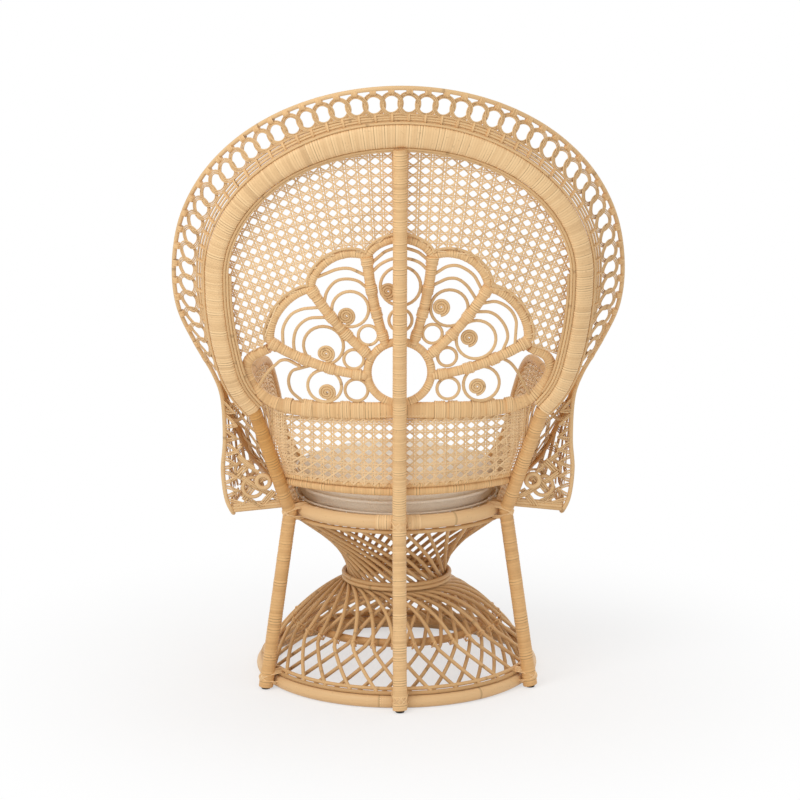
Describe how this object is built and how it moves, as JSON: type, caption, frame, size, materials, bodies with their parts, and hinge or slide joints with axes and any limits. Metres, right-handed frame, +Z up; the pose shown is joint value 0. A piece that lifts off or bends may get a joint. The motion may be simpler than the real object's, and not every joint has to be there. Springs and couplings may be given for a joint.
{
  "type": "rattan peacock chair",
  "caption": "Rattan peacock chair with an hourglass base of slanted canes, a tall fan back with looped border, wing arms and a loose round cushion.",
  "frame": {"origin": "on the floor, under the middle of the chair's outline", "axes": "+Z up, -Y the way the chair faces, +X the sitter's left"},
  "size_m": [1.0702, 0.8014, 1.5058],
  "materials": {
    "smooth_pole": "satin natural rattan pole",
    "rattan_cane": "satin natural cane",
    "peel_wrap": "pole wrapped in glossy cane peel",
    "woven_cane": "woven cane peel",
    "cushion_fabric": "matte cream linen",
    "glide_rubber": "matte dark"
  },
  "bodies": {
    "frame": {"base_hoop": "smooth_pole", "seat_hoop": "smooth_pole", "waist_ring": "peel_wrap", "long_stakes": "rattan_cane", "counter_stakes": "rattan_cane", "brace_ring": "smooth_pole", "seat_deck": "woven_cane", "back_band": "peel_wrap", "rear_centre_post": "peel_wrap", "rear_left_post": "peel_wrap", "rear_right_post": "peel_wrap", "centre_glide": "glide_rubber", "left_glide": "glide_rubber", "right_glide": "glide_rubber", "mid_rail": "peel_wrap", "lower_rail": "peel_wrap", "lower_cane_panel": "woven_cane", "shell_outline": "peel_wrap", "hub_ring": "peel_wrap", "left_spoke_1": "peel_wrap", "left_spoke_2": "peel_wrap", "left_spoke_3": "peel_wrap", "right_spoke_1": "peel_wrap", "right_spoke_2": "peel_wrap", "right_spoke_3": "peel_wrap", "petal_scroll_1": "rattan_cane", "petal_scroll_2": "rattan_cane", "petal_scroll_3": "rattan_cane", "petal_scroll_4": "rattan_cane", "petal_scroll_5": "rattan_cane", "petal_scroll_6": "rattan_cane", "petal_scroll_7": "rattan_cane", "upper_cane_panel": "woven_cane", "outer_rim": "rattan_cane", "border_loops": "rattan_cane", "left_arm_rail": "smooth_pole", "left_arm_panel": "woven_cane", "left_wing_pole": "smooth_pole", "left_wing_lace": "rattan_cane", "left_gusset_lace": "rattan_cane", "right_arm_rail": "smooth_pole", "right_arm_panel": "woven_cane", "right_wing_pole": "smooth_pole", "right_wing_lace": "rattan_cane", "right_gusset_lace": "rattan_cane"},
    "cushion": {"seat_cushion": "cushion_fabric"}
  },
  "joints": [
    {"name": "cushion_lift", "type": "slide", "parent": "frame", "child": "cushion", "axis": [0, 0, 1], "range_m": [0, 0.3]}
  ]
}
